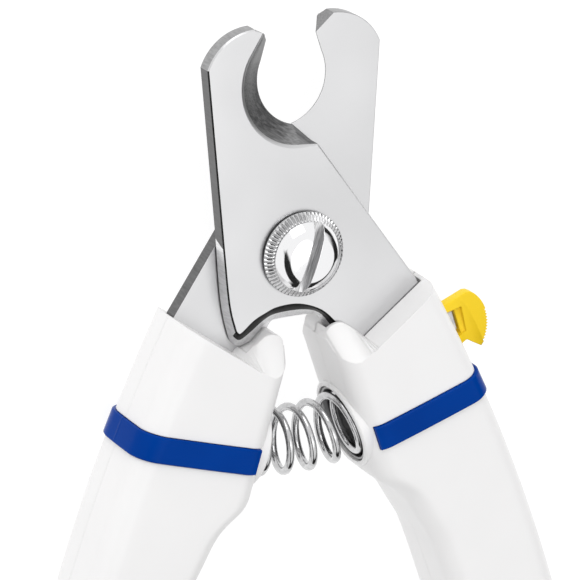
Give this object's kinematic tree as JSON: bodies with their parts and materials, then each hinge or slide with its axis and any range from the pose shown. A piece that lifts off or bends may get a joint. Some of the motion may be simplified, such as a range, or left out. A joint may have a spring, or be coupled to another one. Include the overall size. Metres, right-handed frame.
{
  "type": "scissor nail clipper",
  "caption": "Hand-held pet nail clipper: crossed steel blades with a round notch, sprung plastic handles and a thumb lock, lying open on its back.",
  "frame": {"origin": "centre of the overall size at the back faces of the handle bands, which it lies on", "axes": "+Y to the jaw tips, +X across to the right handle, +Z out of the front, where the pivot screw's head is"},
  "size_m": [0.0882, 0.1376, 0.0147],
  "materials": {
    "blade_steel": "ground faces, bright bevel on the cutting notch",
    "chrome": "polished plate",
    "plain_steel": "plain bright steel",
    "white_plastic": "smooth moulded gloss",
    "blue_plastic": "smooth moulded gloss",
    "yellow_plastic": "satin moulded"
  },
  "bodies": {
    "right_half": {"front_blade": "blade_steel", "pivot_screw": "chrome", "lock_washer": "chrome", "rear_washer": "plain_steel", "pivot_nut": "plain_steel", "right_handle_front": "white_plastic", "right_handle_back": "white_plastic", "right_band": "blue_plastic", "right_spring_cup": "plain_steel", "right_tang_pin_upper": "plain_steel", "right_tang_pin_lower": "plain_steel", "right_handle_screw_upper": "plain_steel", "right_handle_screw_middle": "plain_steel", "right_handle_screw_lower": "plain_steel", "lock_guide_pin": "plain_steel", "handle_spring": "chrome"},
    "left_half": {"back_blade": "blade_steel", "left_handle_front": "white_plastic", "left_handle_back": "white_plastic", "left_band": "blue_plastic", "left_spring_cup": "plain_steel", "left_tang_pin_upper": "plain_steel", "left_tang_pin_lower": "plain_steel", "left_handle_screw_upper": "plain_steel", "left_handle_screw_middle": "plain_steel", "left_handle_screw_lower": "plain_steel"},
    "lock": {"lock_slide": "yellow_plastic", "lock_plate": "plain_steel"}
  },
  "joints": [
    {"name": "close", "type": "hinge", "parent": "right_half", "child": "left_half", "pos_m": [0, 0.03916, 0.00735], "axis": [0, 0, 1], "range_deg": [0, 23.5], "stiffness_Nm_per_rad": 0.7, "springref_deg": -11.46, "deforming": ["handle_spring"]},
    {"name": "lock_travel", "type": "slide", "parent": "right_half", "child": "lock", "axis": [-0.3007, 0.9537, 0], "range_m": [0, 0.003]}
  ]
}
